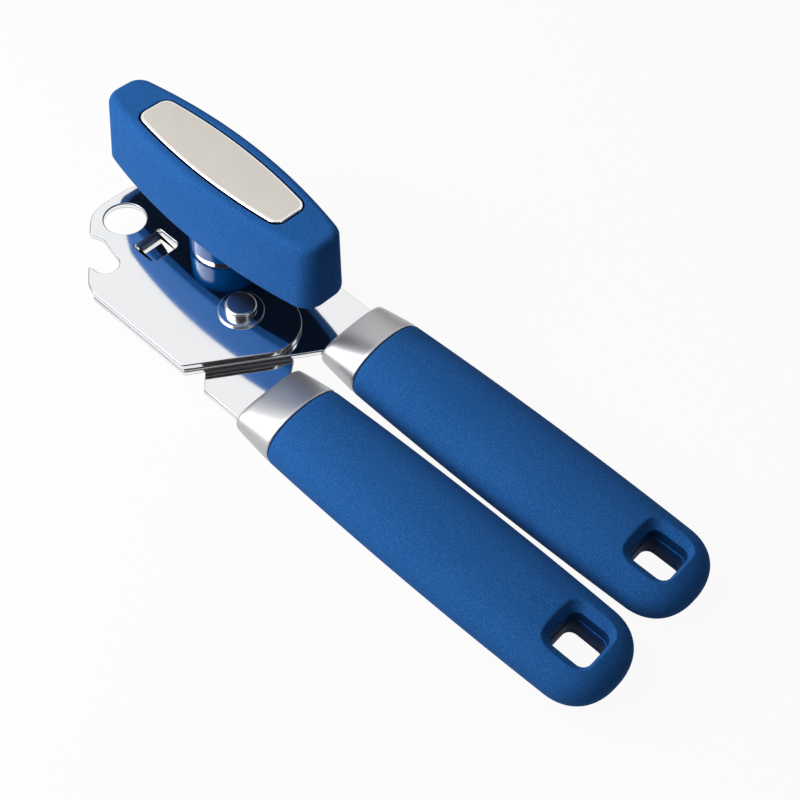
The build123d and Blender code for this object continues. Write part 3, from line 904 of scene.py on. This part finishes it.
@dataclass
class Knob:
    """Turning knob: soft shell and steel inlay, in millimetres."""

    shaft: tuple[float, float]
    turn: float = KNOB_TURN
    length: float = 88.4
    width: float = 26.0
    end_width: float = 15.2
    corner: float = 6.5
    draft: float = 1.2
    top_round: float = 2.2
    bottom_round: float = 0.5
    skirt: float = 2.4
    hub_radius: float = 9.7
    hub_recess: float = 2.0
    underside_drop: float = 0.05
    lip_round: float = 0.25
    land_edge: float = 0.15
    inlay_length: float = 58.6
    inlay_width: float = 15.8
    inlay_end_width: float = 11.0
    inlay_corner: float = 3.4
    inlay_gap: float = 0.5
    inlay_rim_width: float = 0.75
    inlay_rim_drop: float = 0.45
    side_steps: int = 4
    top_steps: int = 9
    inlay_rim_steps: int = 4

    def __post_init__(self) -> None:
        """Take the levels from the solids."""
        low, high = node_box("knob_shell")
        self.low_z, self.top_z = low.z, high.z
        inlay_low, inlay_high = node_box("knob_inlay")
        self.inlay_z, self.inlay_top_z = inlay_low.z, inlay_high.z
        self.outline = Barrel(self.length, self.width, self.end_width, self.corner)
        self.plate = Barrel(self.inlay_length, self.inlay_width, self.inlay_end_width, self.inlay_corner)

    def placed(self, points: Sequence[Vector], z: float) -> Places:
        """Move an outline onto the knob at one level."""
        move = Matrix.Translation((*self.shaft, z)) @ Matrix.Rotation(self.turn, 4, "Z")
        return [move @ point.to_3d() for point in points]

    def rows(self, outline: Barrel, levels: Sequence[tuple[float, float]]) -> list[Places]:
        """Rows of an outline, each drawn in by one amount at one level."""
        return [self.placed(outline.inset(inset).points(), z) for inset, z in levels]

    def build_shell(self) -> None:
        """Model the shell from its hub, round the outside and into the inlay's recess."""
        inner = self.outline.inset(self.skirt).points()
        hub = [point.normalized() * self.hub_radius for point in inner]
        skin = Skin(self.placed(hub, self.low_z + self.hub_recess))
        skin.cap()
        under_z = self.low_z - self.underside_drop
        skin.grow(self.placed(hub, under_z), self.placed(inner, under_z), self.placed(inner, self.low_z))
        inside = skin.bm.faces[:]
        side = [(self.bottom_round * left, self.low_z + self.bottom_round * gone)
                for gone, left in quarter(ROUND_STEPS, 0)]
        height = self.top_z - self.low_z
        for step in range(1, self.side_steps + 1):
            rise = self.bottom_round + (height - self.bottom_round - self.top_round) * step / self.side_steps
            side.append((self.draft * rise / height, self.low_z + rise))
        side += [(self.draft + self.top_round * gone, self.top_z - self.top_round * left)
                 for gone, left in quarter(self.top_steps)]
        side.append((self.draft + self.top_round + self.land_edge, self.top_z))
        skin.grow(*self.rows(self.outline, side))
        land = skin.edges()
        lip = [(-self.inlay_gap - self.lip_round * left, self.top_z - self.lip_round * gone)
               for gone, left in quarter(ROUND_STEPS, 0)]
        lip.append((-self.inlay_gap, self.inlay_z))
        brim = self.plate.inset(-self.inlay_gap - self.lip_round - self.land_edge)
        skin.start(self.placed(brim.points(), self.top_z))
        bmesh.ops.triangle_fill(skin.bm, edges=land + skin.edges(), use_beauty=True)
        skin.grow(*self.rows(self.plate, lip))
        recess = {face for vertex in skin.row for face in vertex.link_faces}
        # Underside, hub end and the inlay's recess take the second, near-black finish: painted shade under the
        # knob and in the groove.
        for face in [*inside, *recess, skin.cap()]:
            face.material_index = 1
        finish_piece(skin.bm, "knob_soft_shell", [Look.SOFT_BLUE, Look.KNOB_INSIDE], Body.DRIVE,
                     "knob_shell", SOFT_CREASE)

    def build_inlay(self) -> None:
        """Model the inlay plate with its polished, rounded rim."""
        skin = Skin(self.placed(self.plate.points(), self.inlay_z))
        skin.cap()
        rim_z = self.inlay_top_z - self.inlay_rim_drop
        rim = [(self.inlay_rim_width * gone, self.inlay_top_z - self.inlay_rim_drop * left)
               for gone, left in quarter(self.inlay_rim_steps)]
        skin.grow(self.placed(self.plate.points(), rim_z), *self.rows(self.plate, rim))
        for face in skin.bm.faces:
            face.material_index = 1
        skin.cap().material_index = 0
        finish_piece(skin.bm, "knob_steel_inlay", [Look.INLAY, Look.INLAY_RIM], Body.DRIVE,
                     "knob_inlay")


@dataclass
class Rivet:
    """Pivot rivet with a rounded head and foot, in millimetres."""

    place: tuple[float, float]
    shank_radius: float = 3.0
    head_height: float = 2.4
    foot_height: float = 1.3
    head_round: float = 0.8
    dish: float = 0.12
    dish_edge: float = 0.5
    dish_left: float = 0.2
    undercut: float = 0.2
    round_steps: int = 6
    steps: int = 72

    def __post_init__(self) -> None:
        """Take the levels from the solid."""
        low, high = node_box("pivot_rivet")
        self.low_z, self.top_z = low.z, high.z
        self.radius = (high.x - low.x) / 2

    def profile(self) -> Places:
        """Half of the rivet's section.

        Returns:
            Points from the middle of the top to the middle of the foot.
        """
        head_z, foot_z = self.top_z - self.head_height, self.low_z + self.foot_height
        foot_round = self.foot_height / 2
        rounding = quarter(self.round_steps, 0)
        points = [(0.0, self.top_z - self.dish),
                  (self.radius - self.head_round - self.dish_edge, self.top_z - self.dish * self.dish_left)]
        points += [(self.radius - self.head_round * gone, self.top_z - self.head_round * left)
                   for gone, left in reversed(rounding)]
        points += [(self.radius, head_z + self.undercut), (self.radius - self.undercut, head_z),
                   (self.shank_radius, head_z), (self.shank_radius, foot_z), (self.radius, foot_z)]
        points += [(self.radius - foot_round * gone, self.low_z + foot_round * left) for gone, left in rounding]
        points.append((0.0, self.low_z))
        return [Vector((self.place[0] + across, self.place[1], z)) for across, z in points]

    def build(self) -> None:
        """Spin the profile round the pivot."""
        bm = bmesh.new()
        row = [bm.verts.new(point) for point in self.profile()]
        edges = [bm.edges.new(pair) for pair in zip(row, row[1:])]
        bmesh.ops.spin(bm, geom=row + edges, cent=(*self.place, 0), axis=(0, 0, 1), angle=2 * math.pi,
                       steps=self.steps, use_merge=True)
        finish_piece(bm, "pivot_rivet_turned", [Look.RIVET_STEEL], Body.FRONT, "pivot_rivet")


# Sheet-metal parts


@dataclass(frozen=True)
class PressedSheet:
    """Sheet-metal part whose sheared edges are rounded over, in millimetres.

    Faces are told apart by the upward part of their normal: 0 is upright and 1 is flat.
    """

    node: str
    body: Body
    edge_round: float = 0.4
    segments: int = 4
    flatness: float = 2.0
    upright_below: float = 0.1
    flat_above: float = 0.995
    slanting: tuple[float, float] = (0.15, 0.97)
    flat_weight: int = 100

    def sheared(self, edge: bmesh.types.BMEdge) -> bool:
        """True for an edge between a flat face and an upright one, cut by the press."""
        lifts = sorted(abs(face.normal.z) for face in edge.link_faces)
        return lifts[0] < self.upright_below and lifts[-1] > self.flat_above

    def rounded_over(self, face: bmesh.types.BMFace) -> bool:
        """True for a narrow, slanting face of a rounded edge."""
        narrow = 2 * face.calc_area() < self.edge_round * face.calc_perimeter()
        return narrow and self.slanting[0] < abs(face.normal.z) < self.slanting[1]

    def build(self) -> None:
        """Round the edges of a copy of the solid."""
        bm = bmesh.new()
        bm.from_mesh(frame["nodes"][self.node].data)
        bmesh.ops.scale(bm, vec=(1 / MM,) * 3, verts=bm.verts[:])
        bmesh.ops.remove_doubles(bm, verts=bm.verts[:], dist=NEAR)
        bmesh.ops.dissolve_limit(bm, angle_limit=math.radians(self.flatness), verts=bm.verts[:],
                                 edges=bm.edges[:])
        rims = [edge for edge in bm.edges if self.sheared(edge)]
        bmesh.ops.bevel(bm, geom=rims, offset=self.edge_round, offset_type="OFFSET", segments=self.segments,
                        profile=0.5, affect="EDGES", clamp_overlap=False, material=-1)
        # Rounded-over edge faces take the darker steel: painted dark reflection along the edges.
        for face in bm.faces:
            face.material_index = int(self.rounded_over(face))
        piece = finish_piece(bm, f"{self.node}_sheet", [Look.MIRROR, Look.EDGE_STEEL],
                             self.body, self.node, SOFT_CREASE)
        weighted = piece.modifiers.new("flat_faces_lead", "WEIGHTED_NORMAL")
        weighted.mode = "FACE_AREA"
        weighted.weight = self.flat_weight
        weighted.keep_sharp = True


# Solids that are shown as they are


@dataclass(frozen=True)
class Dressing:
    """Finish for solids that keep their own shape."""

    look: Look
    nodes: tuple[str, ...]

    def apply(self) -> None:
        """Give the finish to each solid."""
        for node in self.nodes:
            for slot in frame["nodes"][node].material_slots:
                slot.material = self.look.material
            log.info("%s: dressed with %s", node, self.look.material.name)


# Studio


def stage_sheet(name: str, width: float, depth: float, move: Matrix, material: bpy.types.Material,
                in_view: bool = True) -> None:
    """Add a flat sheet to the stage.

    Args:
        name: Name of the sheet.
        width: Its width, in millimetres.
        depth: Its depth, in millimetres.
        move: Where it goes.
        material: Its finish.
        in_view: False to hide it from the camera.
    """
    bm = bmesh.new()
    bmesh.ops.create_grid(bm, x_segments=1, y_segments=1, size=0.5 * MM)
    bmesh.ops.scale(bm, vec=(width, depth, 1), verts=bm.verts[:])
    bmesh.ops.transform(bm, matrix=move, verts=bm.verts[:])
    mesh = bpy.data.meshes.new(name)
    bm.to_mesh(mesh)
    bm.free()
    mesh.materials.append(material)
    sheet = bpy.data.objects.new(name, mesh)
    sheet.visible_camera = in_view
    bpy.context.scene.collection.objects.link(sheet)


@dataclass(frozen=True)
class Card:
    """Dark card that shades one side of the opener and shows as dark lines in its steel, in millimetres."""

    name: str
    place: tuple[float, float, float]
    width: float
    height: float
    shade: Colour = (0.03, 0.03, 0.03, 1.0)
    roughness: float = 0.9

    def build(self) -> None:
        """Stand the card up, facing the opener."""
        material, shader = new_shader(self.name)
        shader.surface(Base_Color=self.shade, Roughness=self.roughness)
        place = Vector(self.place)
        turn = (-place).to_track_quat("Z", "Y").to_matrix().to_4x4()
        stage_sheet(self.name, self.width, self.height, Matrix.Translation(place * MM) @ turn, material,
                    in_view=False)


@dataclass(frozen=True)
class Lamp:
    """Soft square lamp that points at the middle of the opener, in millimetres and watts."""

    name: str
    place: tuple[float, float, float]
    size: float
    power: float

    def build(self) -> None:
        """Hang the lamp."""
        data = bpy.data.lights.new(self.name, "AREA")
        data.shape = "SQUARE"
        data.size = self.size * MM
        data.energy = self.power
        lamp = bpy.data.objects.new(self.name, data)
        lamp.location = Vector(self.place) * MM
        lamp.rotation_euler = (-Vector(self.place)).to_track_quat("-Z", "Y").to_euler()
        bpy.context.scene.collection.objects.link(lamp)


@dataclass(frozen=True)
class Studio:
    """White floor and surroundings, soft lamp, cards and the camera, in millimetres and degrees."""

    target: tuple[float, float, float] = (12.853, 6.637, 13.4)
    distance: float = 376.025
    azimuth: float = 37.75
    elevation: float = 53.409
    roll: float = 5.938
    lens: float = 61.353
    sensor: float = 36.0
    nearest: float = 10.0
    farthest: float = 50000.0
    floor_size: float = 6000.0
    floor_tone: Colour = (0.6, 0.6, 0.6, 1.0)
    floor_glow: float = 0.94
    white: Colour = (1.0, 1.0, 1.0, 1.0)
    fill: float = 0.3
    cards: tuple[Card, ...] = (
        Card("camera_card", (460.0, -480.0, 440.0), 800.0, 800.0),
        Card("right_card", (600.0, 330.0, 480.0), 560.0, 700.0),
        Card("low_card", (-560.0, 280.0, 36.0), 620.0, 70.0),
        Card("back_card", (-250.0, 580.0, 80.0), 640.0, 160.0),
    )
    lamp: Lamp = Lamp("left_softbox", (-225.0, -255.0, 285.0), 360.0, 2.7)

    def build_camera(self) -> None:
        """Set the camera at the photograph's viewing angle."""
        turn, lift, roll = (math.radians(angle) for angle in (self.azimuth, self.elevation, self.roll))
        back = Vector((math.sin(turn) * math.cos(lift), -math.cos(turn) * math.cos(lift), math.sin(lift)))
        level = Vector((math.cos(turn), math.sin(turn), 0.0))
        rise = back.cross(level)
        right = math.cos(roll) * level + math.sin(roll) * rise
        up = math.cos(roll) * rise - math.sin(roll) * level
        data = bpy.data.cameras.new("camera")
        data.lens = self.lens
        data.sensor_width = self.sensor
        data.clip_start, data.clip_end = self.nearest * MM, self.farthest * MM
        camera = bpy.data.objects.new("camera", data)
        place = (Vector(self.target) + back * self.distance) * MM
        camera.matrix_world = Matrix.Translation(place) @ Matrix((right, up, back)).transposed().to_4x4()
        bpy.context.scene.collection.objects.link(camera)
        bpy.context.scene.camera = camera

    def build_world(self) -> None:
        """White surroundings that light the object softly."""
        world = bpy.data.worlds.new("white_room")
        bpy.context.scene.world = world
        shader = Shader(world)
        strength = shader.seen() * (1 - self.fill) + self.fill
        light = shader.node("ShaderNodeBackground", None, {"Color": self.white, "Strength": strength})
        shader.node("ShaderNodeOutputWorld", None, {"Surface": light.outputs[0]})

    def build_floor(self) -> None:
        """Pale floor that keeps a light shadow."""
        material, shader = new_shader("white_floor")
        matt = shader.node("ShaderNodeBsdfDiffuse", None, {"Color": self.floor_tone})
        glow = shader.node("ShaderNodeEmission", None, {"Color": self.white, "Strength": 1.0})
        share = shader.seen() * self.floor_glow
        both = shader.node("ShaderNodeMixShader", None, {0: share, 1: matt.outputs[0], 2: glow.outputs[0]})
        shader.node("ShaderNodeOutputMaterial", None, {"Surface": both.outputs[0]})
        stage_sheet("floor", self.floor_size, self.floor_size, Matrix(), material)

    def build(self) -> None:
        """Set up the whole studio."""
        self.build_camera()
        self.build_world()
        self.build_floor()
        for card in self.cards:
            card.build()
        self.lamp.build()
        bpy.context.scene.view_settings.view_transform = "Standard"


def main() -> None:
    """Dress the opener and set up its studio."""
    logging.basicConfig(level=logging.INFO, format="%(name)s: %(message)s")
    for side in Side:
        Grip(side).build()
        Ferrule(side).build()
    knob = Knob(joint_place("knob_turn"))
    knob.build_shell()
    knob.build_inlay()
    Rivet(joint_place("handle_hinge")).build()
    PressedSheet("head_plate", Body.FRONT).build()
    PressedSheet("front_lever", Body.FRONT).build()
    PressedSheet("back_lever", Body.BACK).build()
    PressedSheet("pivot_washer", Body.FRONT, edge_round=0.25).build()
    Dressing(Look.MIRROR, ("shaft_bush",)).apply()
    Dressing(Look.HUB_BLUE, ("knob_core",)).apply()
    Dressing(Look.CUTTER_STEEL, ("cutter_wheel", "cutter_axle")).apply()
    Dressing(Look.DRIVE_STEEL, ("feed_wheel", "feed_wheel_clip", "thrust_washer", "drive_shaft", "knob_washer",
                                "knob_screw")).apply()
    Dressing(Look.CORE, ("front_handle_core", "back_handle_core")).apply()
    Studio().build()


if __name__ == "__main__":
    main()
